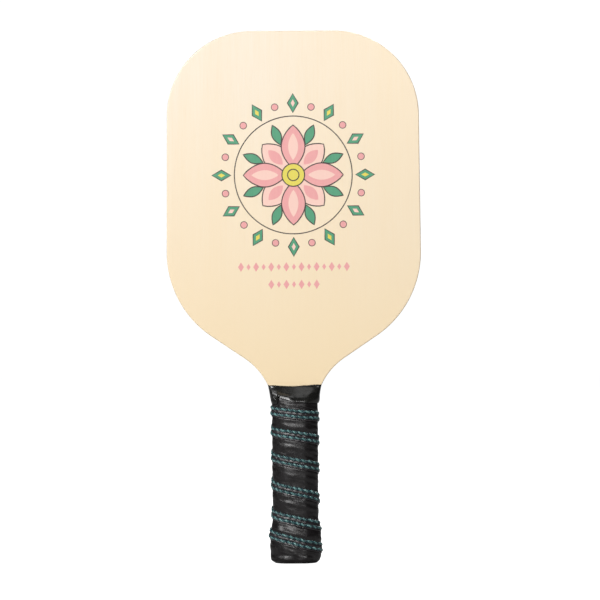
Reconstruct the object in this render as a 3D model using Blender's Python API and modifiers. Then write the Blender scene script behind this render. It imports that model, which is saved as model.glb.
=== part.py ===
"""A wooden pickleball paddle, as the separate pieces it is glued, nailed and wound from.

Frame: metres, +Z up the paddle's long axis with the head at the top, the printed face towards -Y, and
the origin at the centre of the butt's end face. The blade is seven-ply plywood whose tang runs down
inside the handle between two wooden scales. A cap is nailed over the lower end, and a padded strip with
a corded rib is wound over it all, down to the butt, with a band of tape round its upper end.
"""

import math

import bmesh
import bpy
from mathutils import Vector

# Blade outline, as half-widths and radii
PADDLE_LENGTH = 0.394
HEAD_HALF_WIDTH = 0.0941
HEAD_TOP_HALF_WIDTH = 0.0933
TOP_CORNER_RADIUS = 0.0628
WIDEST_HEIGHT = 0.230
LOWER_CORNER_RADIUS = 0.075
SHOULDER_ANGLE = math.radians(56)
NECK_RADIUS = 0.050
TANG_HALF_WIDTH = 0.0150
TANG_BOTTOM = 0.0033
TOP_CORNER_STEPS = 14
LOWER_CORNER_STEPS = 8
NECK_STEPS = 5

# Plywood
PLY_NAMES = (
    "front_face_veneer",
    "front_crossband",
    "front_long_ply",
    "core_ply",
    "back_long_ply",
    "back_crossband",
    "back_face_veneer",
)
PLY_THICKNESS = 0.0011
GAP = 0.0003

# Handle section: a rounded octagon about the tang
HANDLE_HALF_DEPTH = 0.0115
SIDE_FLAT_HALF = 0.0051
ROUNDING_INSET = 0.00075
ROUNDING_RISE = 0.26
FACET_INSET = 0.00545
FACET_RISE = 0.897
FACE_INSET = 0.0072

# Upper end of the handle, where the tape sits in a shallow seat in the neck
TAPE_SEAT_DEPTH = 0.0005
TAPE_SEAT_TOP = 0.1318
SCALE_BEVEL_START = 0.1265
SCALE_TOP = 0.1309
SCALE_TOP_HALF_DEPTH = 0.0056
BEVEL_OVERRUN = 1.15
SCALE_FLARE_RISE = 0.007
SCALE_FLARE_TOP = 0.1224
SCALE_INNER = 3.5 * PLY_THICKNESS + 4 * GAP

# Butt cap: height above the butt, and how far its outside stands off the wood
CAP_STAND_OFF = 0.0019
CAP_PROFILE = (
    (0.0, -0.0008),
    (0.0010, 0.0012),
    (0.0060, CAP_STAND_OFF),
    (0.0220, CAP_STAND_OFF),
    (0.0270, 0.00075),
)
CAP_FLOOR = 0.0030
WRAP_BLEND_TOP = 0.0310

# Brads that hold the cap, one in front and one behind
BRAD_HEIGHT = 0.015
BRAD_HEAD_RADIUS = 0.0012
BRAD_SHANK_RADIUS = 0.0006
BRAD_LENGTH = 0.0060
BRAD_HEAD_THICKNESS = 0.0005
BRAD_HEAD_SUNK = 0.0001
HEAD_RECESS_DEPTH = 0.0009
SHANK_HOLE_DEPTH = 0.0078
CUTTER_OVERSHOOT = 0.002
BRAD_STEPS = 12

# Wrapped strip: layers measured outwards from the wood or the cap
CUSHION_INSIDE = 0.0003
CUSHION_OUTSIDE = 0.0009
SKIN_INSIDE = 0.0012
SKIN_OUTSIDE = 0.00185
RIB_TOP = 0.00265
RIB_FOOT = 0.0015
RIB_SHOULDER = 0.0009
GROOVE_ROOF = 0.0020
GROOVE_HALF_WIDTH = 0.0008
CORD_TOP = 0.0017
CORD_HALF_WIDTH = 0.0005
STITCH_OFFSET = 0.0022
STITCH_BOTTOM = 0.00215
STITCH_TOP = 0.00295
STITCH_HALF_WIDTH = 0.0006
EDGE_BELOW_RIB = 0.0045
STRIP_TOP = 0.1220
STRIP_BOTTOM = 0.0012
NARROWEST_STRIP = 0.0006
FLAT_SHARES = (0.35, 0.7)
LEAST_STEP_SHARE = 0.02

# Height of the rib where each turn passes the left edge, then the right edge, from the top turn down
RIB_HEIGHTS = (
    0.1270, 0.1185,
    0.1133, 0.1099,
    0.0983, 0.0919,
    0.0789, 0.0719,
    0.0581, 0.0502,
    0.0375, 0.0283,
    0.0221, 0.0131,
    0.0065, -0.0010,
    -0.0080,
)
FIRST_RIB_TURN = 0.97
LAST_RIB_TURN = 6.80

# Finishing tape: height, and how far its inside stands off the handle section
TAPE_PROFILE = (
    (0.1172, 0.00215),
    (0.1224, 0.00215),
    (0.1265, 0.0010),
    (0.1314, 0.0003),
)
TAPE_THICKNESS = 0.00045


def clear_scene():
    for obj in list(bpy.data.objects):
        bpy.data.objects.remove(obj, do_unlink=True)


def make_collection(name):
    collection = bpy.data.collections.new(name)
    bpy.context.scene.collection.children.link(collection)
    return collection


def make_material(name, colour, roughness, metallic=0.0):
    material = bpy.data.materials.new(name)
    material.use_nodes = True
    shader = material.node_tree.nodes["Principled BSDF"]
    shader.inputs["Base Color"].default_value = (*colour, 1.0)
    shader.inputs["Roughness"].default_value = roughness
    shader.inputs["Metallic"].default_value = metallic
    return material


def face_veneer_material():
    return make_material("clear_coated_basswood", (0.93, 0.79, 0.60), 0.35)


def inner_ply_material():
    return make_material("basswood_ply", (0.86, 0.68, 0.46), 0.6)


def scale_material():
    return make_material("handle_hardwood", (0.72, 0.50, 0.30), 0.65)


def cap_material():
    return make_material("black_moulded_plastic", (0.02, 0.02, 0.022), 0.5)


def cushion_material():
    return make_material("black_foam", (0.04, 0.04, 0.045), 0.95)


def skin_material():
    return make_material("black_grip_polyurethane", (0.035, 0.032, 0.035), 0.45)


def cord_material():
    return make_material("grey_rib_cord", (0.25, 0.25, 0.25), 0.9)


def thread_material():
    return make_material("teal_thread", (0.10, 0.32, 0.28), 0.7)


def tape_material():
    return make_material("black_tape", (0.03, 0.03, 0.028), 0.35)


def steel_material():
    return make_material("steel", (0.6, 0.6, 0.62), 0.3, 1.0)


def add_object(name, mesh, material, collection, parent):
    obj = bpy.data.objects.new(name, mesh)
    mesh.materials.append(material)
    collection.objects.link(obj)
    obj.parent = parent
    return obj


def neck_top():
    """Height at which the neck's curve leaves the tang's straight side."""
    corner_end = HEAD_HALF_WIDTH - LOWER_CORNER_RADIUS * (1 - math.cos(SHOULDER_ANGLE))
    neck_end = TANG_HALF_WIDTH + NECK_RADIUS * (1 - math.cos(SHOULDER_ANGLE))
    corner_height = WIDEST_HEIGHT - LOWER_CORNER_RADIUS * math.sin(SHOULDER_ANGLE)
    drop = (corner_end - neck_end) / math.tan(SHOULDER_ANGLE)
    return corner_height - drop - NECK_RADIUS * math.sin(SHOULDER_ANGLE)


def neck_half_width(height):
    """Half-width of the blade where it narrows into the tang."""
    rise = max(0.0, height - neck_top())
    return TANG_HALF_WIDTH + NECK_RADIUS - math.sqrt(NECK_RADIUS**2 - rise**2)


def handle_half_width(height):
    """Half-width of the wood inside the wrap, relieved by the tape's seat."""
    return max(TANG_HALF_WIDTH, neck_half_width(height) - TAPE_SEAT_DEPTH)


def handle_half_depth(height):
    """Half-depth of the handle: full up to the scales' bevel, then sloping down to the blade."""
    slope = (height - SCALE_BEVEL_START) / (SCALE_TOP - SCALE_BEVEL_START)
    slope = min(max(slope, 0.0), BEVEL_OVERRUN)
    return HANDLE_HALF_DEPTH + slope * (SCALE_TOP_HALF_DEPTH - HANDLE_HALF_DEPTH)


def arc(centre, radius, start, end, steps):
    """Points on an arc, both ends included; angles run from +X towards +Z."""
    points = []
    for step in range(steps + 1):
        angle = start + (end - start) * step / steps
        points.append((centre[0] + radius * math.cos(angle), centre[1] + radius * math.sin(angle)))
    return points


def right_half_outline():
    """The blade's right edge as (x, z), from the end of the tang up to the top of the head."""
    points = [(TANG_HALF_WIDTH, TANG_BOTTOM)]
    seat_foot = neck_top() + math.sqrt(NECK_RADIUS**2 - (NECK_RADIUS - TAPE_SEAT_DEPTH) ** 2)
    for step in range(NECK_STEPS + 1):
        height = seat_foot + (TAPE_SEAT_TOP - seat_foot) * step / NECK_STEPS
        points.append((handle_half_width(height), height))
    neck_centre = (TANG_HALF_WIDTH + NECK_RADIUS, neck_top())
    seat_angle = math.asin((TAPE_SEAT_TOP - neck_top()) / NECK_RADIUS)
    points += arc(neck_centre, NECK_RADIUS, math.pi - seat_angle, math.pi - SHOULDER_ANGLE, NECK_STEPS)
    lower_centre = (HEAD_HALF_WIDTH - LOWER_CORNER_RADIUS, WIDEST_HEIGHT)
    points += arc(lower_centre, LOWER_CORNER_RADIUS, -SHOULDER_ANGLE, 0.0, LOWER_CORNER_STEPS)
    top_centre = (HEAD_TOP_HALF_WIDTH - TOP_CORNER_RADIUS, PADDLE_LENGTH - TOP_CORNER_RADIUS)
    points += arc(top_centre, TOP_CORNER_RADIUS, 0.0, math.pi / 2, TOP_CORNER_STEPS)
    return points


def add_ply(name, offset, material, collection, parent):
    """One veneer of the blade and its tang: a flat outline, extruded to the ply's thickness."""
    half = right_half_outline()
    outline = half + [(-x, z) for x, z in reversed(half)]
    curve = bpy.data.curves.new(name, "CURVE")
    curve.dimensions = "2D"
    curve.fill_mode = "BOTH"
    curve.extrude = PLY_THICKNESS / 2
    spline = curve.splines.new("POLY")
    spline.points.add(len(outline) - 1)
    for point, (x, z) in zip(spline.points, outline):
        point.co = (x, z, 0.0, 1.0)
    spline.use_cyclic_u = True
    obj = bpy.data.objects.new(name, curve)
    curve.materials.append(material)
    collection.objects.link(obj)
    obj.parent = parent
    obj.rotation_euler = (math.pi / 2, 0.0, 0.0)
    obj.location = (0.0, offset, 0.0)
    return obj


def add_blade(collection, parent):
    face = face_veneer_material()
    inner = inner_ply_material()
    middle = len(PLY_NAMES) // 2
    for index, name in enumerate(PLY_NAMES):
        outermost = index in (0, len(PLY_NAMES) - 1)
        offset = (index - middle) * (PLY_THICKNESS + GAP)
        add_ply(name, offset, face if outermost else inner, collection, parent)


def front_right_corner(half_width, half_depth):
    """The handle section's corner between the right side and the front, from the side round to the front."""
    rise = half_depth - SIDE_FLAT_HALF
    return [
        (half_width, -SIDE_FLAT_HALF),
        (half_width - ROUNDING_INSET, -SIDE_FLAT_HALF - ROUNDING_RISE * rise),
        (half_width - FACET_INSET, -SIDE_FLAT_HALF - FACET_RISE * rise),
        (half_width - FACE_INSET, -half_depth),
    ]


def handle_section(height):
    """The rounded octagon at this height as (x, y), from the left edge round the front to the right."""
    corner = front_right_corner(handle_half_width(height), handle_half_depth(height))
    front = [(-x, y) for x, y in corner] + corner[::-1]
    back = [(-x, -y) for x, y in front]
    return front + back


def offset_section(height, distance):
    """The handle section moved outwards by a distance, with each corner mitred."""
    points = handle_section(height)
    count = len(points)
    moved = []
    for index, (x, y) in enumerate(points):
        before = Vector(points[index]) - Vector(points[index - 1])
        after = Vector(points[(index + 1) % count]) - Vector(points[index])
        before.normalize()
        after.normalize()
        normal = Vector((before.y + after.y, -before.x - after.x))
        normal.normalize()
        reach = distance / max(0.5, normal.dot(Vector((after.y, -after.x))))
        moved.append(Vector((x + normal.x * reach, y + normal.y * reach, height)))
    return moved


def add_two_triangles(shape, first, second, third, fourth):
    """A four-cornered patch, split along its shorter diagonal so that neighbouring layers fold alike."""
    if (first.co - third.co).length <= (second.co - fourth.co).length:
        shape.faces.new((first, second, third))
        shape.faces.new((first, third, fourth))
    else:
        shape.faces.new((second, third, fourth))
        shape.faces.new((second, fourth, first))


def mesh_from_rings(name, rings, ends_joined=False):
    """A closed surface through a row of equal rings, capped at both ends or joined into a loop."""
    mesh = bpy.data.meshes.new(name)
    shape = bmesh.new()
    rows = [[shape.verts.new(point) for point in ring] for ring in rings]
    pairs = list(zip(rows, rows[1:]))
    if ends_joined:
        pairs.append((rows[-1], rows[0]))
    for lower, upper in pairs:
        for index in range(len(lower)):
            following = (index + 1) % len(lower)
            add_two_triangles(shape, lower[index], lower[following], upper[following], upper[index])
    if not ends_joined:
        shape.faces.new(rows[0][::-1])
        shape.faces.new(rows[-1])
    bmesh.ops.recalc_face_normals(shape, faces=shape.faces)
    shape.to_mesh(mesh)
    shape.free()
    return mesh


def brad_hole(name, side, radius, depth, collection):
    """A round cutter that enters the handle from one side, to a depth below the cap's outside."""
    outside = HANDLE_HALF_DEPTH + CAP_STAND_OFF
    bpy.ops.mesh.primitive_cylinder_add(
        vertices=BRAD_STEPS,
        radius=radius,
        depth=depth + CUTTER_OVERSHOOT,
        location=(0.0, side * (outside + (CUTTER_OVERSHOOT - depth) / 2), BRAD_HEIGHT),
        rotation=(math.pi / 2, 0.0, 0.0),
    )
    cutter = bpy.context.active_object
    cutter.name = name
    for owner in list(cutter.users_collection):
        owner.objects.unlink(cutter)
    collection.objects.link(cutter)
    cutter.hide_render = True
    cutter.display_type = "WIRE"
    return cutter


def cut(obj, cutter):
    modifier = obj.modifiers.new("cut_" + cutter.name, "BOOLEAN")
    modifier.operation = "DIFFERENCE"
    modifier.object = cutter


def add_scale(name, side, cutter, collection, parent):
    """One cheek of the handle: half of the octagon, glued to the tang and bevelled at its top."""
    flare_foot = neck_top() + SCALE_FLARE_RISE
    heights = (TANG_BOTTOM, flare_foot, SCALE_FLARE_TOP, SCALE_BEVEL_START, SCALE_TOP)
    rings = []
    for height in heights:
        corner = front_right_corner(handle_half_width(height), handle_half_depth(height))
        half = [(corner[0][0], -SCALE_INNER)] + corner[1:]
        outline = half + [(-x, y) for x, y in reversed(half)]
        rings.append([Vector((x, -side * y, height)) for x, y in outline])
    scale = add_object(name, mesh_from_rings(name, rings), scale_material(), collection, parent)
    cut(scale, cutter)


def add_butt_cap(cutters, collection, parent):
    """The moulded cup over the lower end of the tang and scales."""
    rings = [offset_section(height, offset) for height, offset in CAP_PROFILE]
    rings.append(offset_section(CAP_PROFILE[-1][0], GAP))
    rings.append(offset_section(CAP_FLOOR, GAP))
    cap = add_object("butt_cap", mesh_from_rings("butt_cap", rings), cap_material(), collection, parent)
    for cutter in cutters:
        cut(cap, cutter)


def add_brad(name, side, collection, parent):
    """A round-headed nail, turned about its own axis and driven inwards from one side."""
    profile = [
        (0.0, 0.0),
        (BRAD_HEAD_RADIUS, 0.0),
        (BRAD_HEAD_RADIUS, -BRAD_HEAD_THICKNESS),
        (BRAD_SHANK_RADIUS, -BRAD_HEAD_THICKNESS),
        (BRAD_SHANK_RADIUS, -BRAD_LENGTH + 2 * BRAD_SHANK_RADIUS),
        (0.0, -BRAD_LENGTH),
    ]
    mesh = bpy.data.meshes.new(name)
    edges = [(index, index + 1) for index in range(len(profile) - 1)]
    mesh.from_pydata([(x, 0.0, z) for x, z in profile], edges, [])
    brad = add_object(name, mesh, steel_material(), collection, parent)
    screw = brad.modifiers.new("turn", "SCREW")
    screw.steps = BRAD_STEPS
    screw.render_steps = BRAD_STEPS
    screw.use_merge_vertices = True
    screw.merge_threshold = 0.00001
    head_distance = HANDLE_HALF_DEPTH + CAP_STAND_OFF - BRAD_HEAD_SUNK
    brad.location = (0.0, side * head_distance, BRAD_HEIGHT)
    brad.rotation_euler = (-side * math.pi / 2, 0.0, 0.0)


def base_offset(height):
    """How far the surface under the strip stands off the wood: the cap, then a blend to bare wood."""
    knots = CAP_PROFILE[1:] + ((WRAP_BLEND_TOP, 0.0),)
    if height <= knots[0][0]:
        return knots[0][1]
    for (low, low_offset), (high, high_offset) in zip(knots, knots[1:]):
        if height <= high:
            return low_offset + (high_offset - low_offset) * (height - low) / (high - low)
    return 0.0


def section_fractions():
    """Where each corner of the handle section lies round its outline, from 0 at the left edge to 1."""
    points = [Vector(point) for point in handle_section(WRAP_BLEND_TOP)]
    lengths = [(points[i] - points[i - 1]).length for i in range(len(points))]
    total = sum(lengths)
    travelled = lengths[0] / 2
    fractions = []
    for index in range(len(points)):
        fractions.append(travelled / total)
        travelled += lengths[(index + 1) % len(points)]
    return fractions


def rib_height(turn):
    """Height of the rib after this many turns, straight between its crossings of the two edges."""
    position = min(max(turn * 2, 0.0), len(RIB_HEIGHTS) - 1.001)
    index = int(position)
    share = position - index
    return RIB_HEIGHTS[index] * (1 - share) + RIB_HEIGHTS[index + 1] * share


def stations(first_turn, last_turn):
    """(turn, section corner) for each corner that a strip passes between two turns."""
    fractions = section_fractions()
    found = []
    for whole in range(len(RIB_HEIGHTS) // 2):
        for corner, fraction in enumerate(fractions):
            if first_turn <= whole + fraction <= last_turn:
                found.append((whole + fraction, corner))
    return found


def place(corner, height, distance):
    """A point outside one corner of the handle, measured outwards from the wood or the cap."""
    return offset_section(height, base_offset(height) + distance)[corner]


def strip_edges(turn):
    """(lower, upper) edge of the strip: it runs from below its rib up to the turn above."""
    lower = max(rib_height(turn) - EDGE_BELOW_RIB + GAP / 2, STRIP_BOTTOM)
    above = rib_height(turn - 1) if turn >= 1 else STRIP_TOP + EDGE_BELOW_RIB
    upper = min(above - EDGE_BELOW_RIB - GAP / 2, STRIP_TOP)
    return lower, upper


def strip_stations():
    """The stations at which the strip is wide enough to be there."""
    last = len(RIB_HEIGHTS) / 2
    wide = []
    for turn, corner in stations(0.0, last):
        lower, upper = strip_edges(turn)
        if upper - lower > NARROWEST_STRIP:
            wide.append((turn, corner))
    return wide


def across_strip(turn, ribbed_heights):
    """Heights across the strip from its lower edge up, held inside the strip where it tapers."""
    lower, upper = strip_edges(turn)
    rib = rib_height(turn)
    heights = [lower]
    for offset in ribbed_heights:
        heights.append(rib + offset)
    top_of_rib = max(heights[-1], lower)
    heights += [top_of_rib + (upper - top_of_rib) * share for share in FLAT_SHARES]
    heights.append(upper)
    step = (upper - lower) * LEAST_STEP_SHARE
    kept = []
    for index, height in enumerate(heights):
        lowest = lower + step * index
        highest = upper - step * (len(heights) - 1 - index)
        kept.append(min(max(height, lowest), highest))
    return kept


def has_rib(turn):
    return FIRST_RIB_TURN <= turn <= LAST_RIB_TURN


def add_cushion(collection, parent):
    """The foam band under the strip's skin."""
    rings = []
    for turn, corner in strip_stations():
        heights = across_strip(turn, (0.0,))
        inner = [place(corner, height, CUSHION_INSIDE) for height in heights]
        outer = [place(corner, height, CUSHION_OUTSIDE) for height in heights]
        rings.append(inner + outer[::-1])
    mesh = mesh_from_rings("grip_cushion", rings)
    add_object("grip_cushion", mesh, cushion_material(), collection, parent)


def add_skin(collection, parent):
    """The polyurethane strip, raised into a rib over the cord that runs along it."""
    outer_steps = (-RIB_FOOT, -RIB_SHOULDER, RIB_SHOULDER, RIB_FOOT)
    inner_steps = (-GROOVE_HALF_WIDTH, 0.0, GROOVE_HALF_WIDTH)
    rings = []
    for turn, corner in strip_stations():
        rise = 1.0 if has_rib(turn) else 0.0
        roof = SKIN_INSIDE + rise * (GROOVE_ROOF - SKIN_INSIDE)
        crest = SKIN_OUTSIDE + rise * (RIB_TOP - SKIN_OUTSIDE)
        outer_depths = [SKIN_OUTSIDE] * 2 + [crest] * 2 + [SKIN_OUTSIDE] * 4
        inner_depths = [SKIN_INSIDE] + [roof] * 3 + [SKIN_INSIDE] * 3
        outer_heights = across_strip(turn, outer_steps)
        inner_heights = across_strip(turn, inner_steps)
        outer = [place(corner, h, d) for h, d in zip(outer_heights, outer_depths)]
        inner = [place(corner, h, d) for h, d in zip(inner_heights, inner_depths)]
        rings.append(inner + outer[::-1])
    mesh = mesh_from_rings("grip_skin", rings)
    add_object("grip_skin", mesh, skin_material(), collection, parent)


def add_line(name, offset, section, material, collection, parent):
    """A cord or a row of stitching that follows the rib, offset from its centre line."""
    rings = []
    for turn, corner in stations(FIRST_RIB_TURN, LAST_RIB_TURN):
        height = rib_height(turn) + offset
        rings.append([place(corner, height + along, depth) for along, depth in section])
    add_object(name, mesh_from_rings(name, rings), material, collection, parent)


def add_rib_lines(collection, parent):
    """The cord under the rib, and the two twisted threads that run beside it."""
    cord_base = CUSHION_OUTSIDE + GAP
    cord = (
        (-CORD_HALF_WIDTH, cord_base),
        (-CORD_HALF_WIDTH / 2, CORD_TOP),
        (CORD_HALF_WIDTH / 2, CORD_TOP),
        (CORD_HALF_WIDTH, cord_base),
    )
    middle = (STITCH_BOTTOM + STITCH_TOP) / 2
    stitch = (
        (-STITCH_HALF_WIDTH, middle),
        (0.0, STITCH_TOP),
        (STITCH_HALF_WIDTH, middle),
        (0.0, STITCH_BOTTOM),
    )
    thread = thread_material()
    add_line("grip_rib_cord", 0.0, cord, cord_material(), collection, parent)
    add_line("grip_stitch_upper", STITCH_OFFSET, stitch, thread, collection, parent)
    add_line("grip_stitch_lower", -STITCH_OFFSET, stitch, thread, collection, parent)


def add_tape(collection, parent):
    """The band that holds the upper end of the strip and covers the scales' bevels."""
    outer = [offset_section(height, inside + TAPE_THICKNESS) for height, inside in TAPE_PROFILE]
    inner = [offset_section(height, inside) for height, inside in reversed(TAPE_PROFILE)]
    mesh = mesh_from_rings("finishing_tape", outer + inner, ends_joined=True)
    add_object("finishing_tape", mesh, tape_material(), collection, parent)


def add_handle(collection, cutters, parent):
    for word, side in (("front", -1), ("back", 1)):
        shank = brad_hole("shank_hole_" + word, side, BRAD_SHANK_RADIUS + GAP, SHANK_HOLE_DEPTH, cutters)
        add_scale(word + "_handle_scale", side, shank, collection, parent)
        add_brad("butt_cap_brad_" + word, side, collection, parent)
        brad_hole("head_recess_" + word, side, BRAD_HEAD_RADIUS + GAP, HEAD_RECESS_DEPTH, cutters)
    add_butt_cap(list(cutters.objects), collection, parent)


def main():
    clear_scene()
    paddle = make_collection("pickleball_paddle")
    cutters = make_collection("cutters")
    origin = bpy.data.objects.new("paddle_origin", None)
    paddle.objects.link(origin)
    add_blade(paddle, origin)
    add_handle(paddle, cutters, origin)
    add_cushion(paddle, origin)
    add_skin(paddle, origin)
    add_rib_lines(paddle, origin)
    add_tape(paddle, origin)


main()
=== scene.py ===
"""Looks of a wooden pickleball paddle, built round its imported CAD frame.

Metres, +Z up the paddle with the head at the top, the printed face towards -Y, and the origin at the
centre of the butt's end face. The blade's outline, the handle's section and the rib's heights are the
ones the CAD uses. The rest describes finer shapes that the CAD leaves out.
"""

import math

import bmesh
import bpy
import numpy as np
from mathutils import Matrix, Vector


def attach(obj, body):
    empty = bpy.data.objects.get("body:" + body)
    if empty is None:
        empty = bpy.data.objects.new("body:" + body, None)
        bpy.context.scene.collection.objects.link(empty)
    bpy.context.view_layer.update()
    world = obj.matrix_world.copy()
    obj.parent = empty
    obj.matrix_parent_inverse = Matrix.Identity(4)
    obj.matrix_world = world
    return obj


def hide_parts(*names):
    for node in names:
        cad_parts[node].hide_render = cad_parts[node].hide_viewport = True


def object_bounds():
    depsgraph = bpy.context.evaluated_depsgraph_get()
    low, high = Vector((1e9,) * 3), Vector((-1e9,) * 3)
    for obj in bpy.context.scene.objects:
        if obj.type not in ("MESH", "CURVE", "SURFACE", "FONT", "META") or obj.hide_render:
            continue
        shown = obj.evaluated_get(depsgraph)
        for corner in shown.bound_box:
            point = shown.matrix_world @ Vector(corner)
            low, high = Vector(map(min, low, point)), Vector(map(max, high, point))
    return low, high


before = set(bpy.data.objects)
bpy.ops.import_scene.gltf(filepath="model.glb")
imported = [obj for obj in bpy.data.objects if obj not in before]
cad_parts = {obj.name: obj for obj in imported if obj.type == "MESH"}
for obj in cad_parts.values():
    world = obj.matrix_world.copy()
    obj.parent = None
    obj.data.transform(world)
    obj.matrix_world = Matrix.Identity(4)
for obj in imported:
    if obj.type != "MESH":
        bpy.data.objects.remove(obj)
cad_low, cad_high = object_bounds()
MM = 0.001

# Blade outline
PADDLE_LENGTH = 0.394
HEAD_HALF_WIDTH = 0.0941
HEAD_TOP_HALF_WIDTH = 0.0933
TOP_CORNER_RADIUS = 0.0628
WIDEST_HEIGHT = 0.230
LOWER_CORNER_RADIUS = 0.075
SHOULDER_ANGLE = math.radians(56)
NECK_RADIUS = 0.050
NECK_TOP = 0.11018
TANG_HALF_WIDTH = 0.0150
TANG_BOTTOM = 0.0033
FACE_HALF_DEPTH = 0.00475
PLY_PITCH = 0.0014
ARRIS_RADIUS = 0.0008
GLUE_LINE_BEVEL = 0.00008
PLY_NAMES = (
    "front_face_veneer", "front_crossband", "front_long_ply", "core_ply",
    "back_long_ply", "back_crossband", "back_face_veneer",
)

# Handle section. Places round it are fractions of a turn from its left edge.
FRONT_MIDDLE = 0.25
RIGHT_EDGE = 0.50
BACK_MIDDLE = 0.75
HANDLE_HALF_DEPTH = 0.0115
SIDE_FLAT_HALF = 0.0051
CORNER_INSETS = (0.0, 0.00075, 0.00545, 0.0072)
CORNER_RISES = (0.0, 0.26, 0.897, 1.0)
TAPE_SEAT_DEPTH = 0.0005
TAPE_SEAT_TOP = 0.1318
EASE_HEIGHTS = (0.1180, 0.1340)
TOP_HALF_DEPTH = 0.00470
CAP_PROFILE = ((0.0010, 0.0012), (0.0060, 0.0019), (0.0220, 0.0019), (0.0270, 0.00075), (0.0310, 0.0))
CAP_EASE = 0.0012
SECTION_SAMPLES = 256
SECTION_SOFTNESS = 0.0013
RIDGE_RISE = 0.0008
RIDGE_REACH = 0.009

# Wound strip. Turns are counted from the left edge, where the strip sets out under the tape. The rib's
# heights are read where it crosses the front's left edge, then its right edge, and so on down the grip.
RIB_HEIGHTS = (
    0.1270, 0.1185, 0.1133, 0.1106, 0.0983, 0.0933, 0.0796, 0.0728, 0.0590,
    0.0502, 0.0375, 0.0292, 0.0228, 0.0131, 0.0065, -0.0010, -0.0080,
)
FRONT_EDGE = 0.06
LEFT_SAG = 0.0009
RIGHT_SAG = 0.0014
RIB_SWAY = 0.00028
RIB_START = 0.80
RIB_END = 6.80
EDGE_BELOW_RIB = 0.0045
STRIP_TOP = 0.1256
STRIP_BOTTOM = 0.0004
STRIP_OVERLAP = 0.0030
STRIP_TURN = 0.105
PRESS_HEIGHTS = (0.1172, 0.1195)
STITCH_OFFSET = 0.0021
STITCH_PITCH = 0.0047
PLY_SWING = 0.00045
PLY_RADIUS = 0.00075
CORD_STAND = 0.00150
CORD_RADIUS = 0.00042
TUBE_SIDES = 8

# The strip's relief, in millimetres: how far its flat stands off the handle, then shares of a swell
# against the distance up from the lip or the fold. Each falls away upwards, and that slope is lit.
SKIN_STAND = 1.84
LIP_SWELL = ((-0.2, 0.0), (0.25, 0.80), (0.55, 1.0), (2.05, 0.22), (2.5, 0.0))
CREST_SWELL = ((2.8, 0.0), (3.5, 0.80), (4.2, 1.0), (5.6, 0.60), (6.2, 0.0))
BUTT_FOLD = ((-1.6, 0.0), (-0.6, 0.85), (0.0, 1.0), (3.4, 0.10), (4.2, 0.0))
BUTT_FOLD_HEIGHT = 2.6

# Tape. The edge is the distance round from the middle of the front and the height, in millimetres.
TAPE_EDGE = (
    (-26.2, 117.7), (-14.6, 117.9), (-13.6, 119.0), (-12.6, 122.0), (-11.6, 124.0), (-10.2, 122.5),
    (-9.0, 121.7), (-7.4, 121.1), (-4.0, 120.2), (-0.4, 119.5), (4.0, 119.0), (9.0, 118.7),
    (20.0, 118.3), (60.0, 117.8), (78.8, 117.7),
)
TAPE_TOP = 0.1316
TAPE_THICKNESS = 0.00045
# Height, and stand-off in millimetres
TAPE_PROFILE = (
    (0.1170, 1.75), (0.1176, 2.02), (0.1190, 2.12), (0.1204, 2.22), (0.1225, 2.14), (0.1250, 1.86),
    (0.1272, 1.46), (0.1290, 1.08), (0.1302, 0.82), (0.1312, 0.76), (0.1318, 0.50),
)
# The loose end's flat facet: a point on it as x and z, how far forward it stands there, and its slopes
FLAP_PLACE = (-0.0060, 0.1220)
FLAP_STAND = 0.01322
FLAP_ACROSS = 0.121
FLAP_UP = 0.19
FLAP_MOST = 1.2

# Butt cap: height and stand-off in millimetres, down the outside and across the end face, then inside
CAP_RINGS = (
    (27.0, 0.35), (26.6, 0.75), (24.0, 1.45), (22.0, 1.90), (14.0, 1.90), (6.0, 1.90), (3.5, 1.72),
    (1.8, 1.42), (1.0, 1.15), (0.5, 0.75), (0.15, 0.10), (0.0, -0.70), (0.0, -2.60), (0.30, -2.75),
    (0.35, -3.40), (0.0, -3.60),
)
CAP_INSIDE = ((27.0, 0.30), (3.0, 0.30))
CAP_SECTION_HEIGHT = 0.020

# Handle scales
SCALE_HEIGHTS = (TANG_BOTTOM, 0.060, 0.1130, 0.1170, 0.1200, 0.1235, 0.1265, 0.1294)
SCALE_INNER = 0.00505

# Print
INK_LOW = 0.00001
INK_LAYER = 0.00003
LINE_WIDTH = 0.0008
DOT_LINE_WIDTH = 0.0005
INK_COLOURS = {
    "green": ((66, 152, 112), (84, 164, 124)),
    "pink": ((236, 160, 160), (240, 176, 170)),
    "pale_pink": ((248, 204, 190), (250, 212, 196)),
    "yellow": ((228, 212, 72), (232, 218, 100)),
    "dark": ((44, 34, 28), (70, 56, 46)),
}
BADGE_CENTRE = (0.0, 0.2872)
PETALS = 8
LONG_TIP = 0.0370
SHORT_TIP = 0.0320
HUB_RADIUS = 0.0084
ROUND_LINE_RADIUS = 0.0436
RING_SHAPES = 24
RING_RADIUS = 0.0532
DOT_RING = 0.0520
DOT_RADIUS = 0.0025
LOZENGE_SPACING = 0.0056
LOZENGE_ROWS = ((0.2192, 15), (0.2062, 7))

# Stage
CAMERA_PLACE = (0.00434, -2.4, 0.1946)
CAMERA_LENS = 194.15
CAMERA_ROLL = math.radians(0.4)
WHITE = (1.0, 1.0, 1.0, 1.0)
ROOM_SEEN = 1.05
ROOM_LIGHT = 0.05
FLOOR_REACH = 6.0
FLOOR_GAP = 0.0001
# Name, place, height on the paddle's axis that it faces, width and power
SOFTBOXES = (
    ("key_softbox", (-0.55, -2.15, 0.90), 0.2, 0.48, 22.5),
    ("broad_softbox", (-1.60, -1.05, 1.25), 0.2, 1.0, 26.0),
    ("front_softbox", (0.36, -2.40, 0.80), 0.2, 0.42, 7.5),
    ("top_softbox", (0.35, -0.62, 2.10), 0.12, 0.80, 3.5),
    ("rear_softbox", (0.90, 1.50, 2.40), 0.2, 1.20, 80.0),
)


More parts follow.
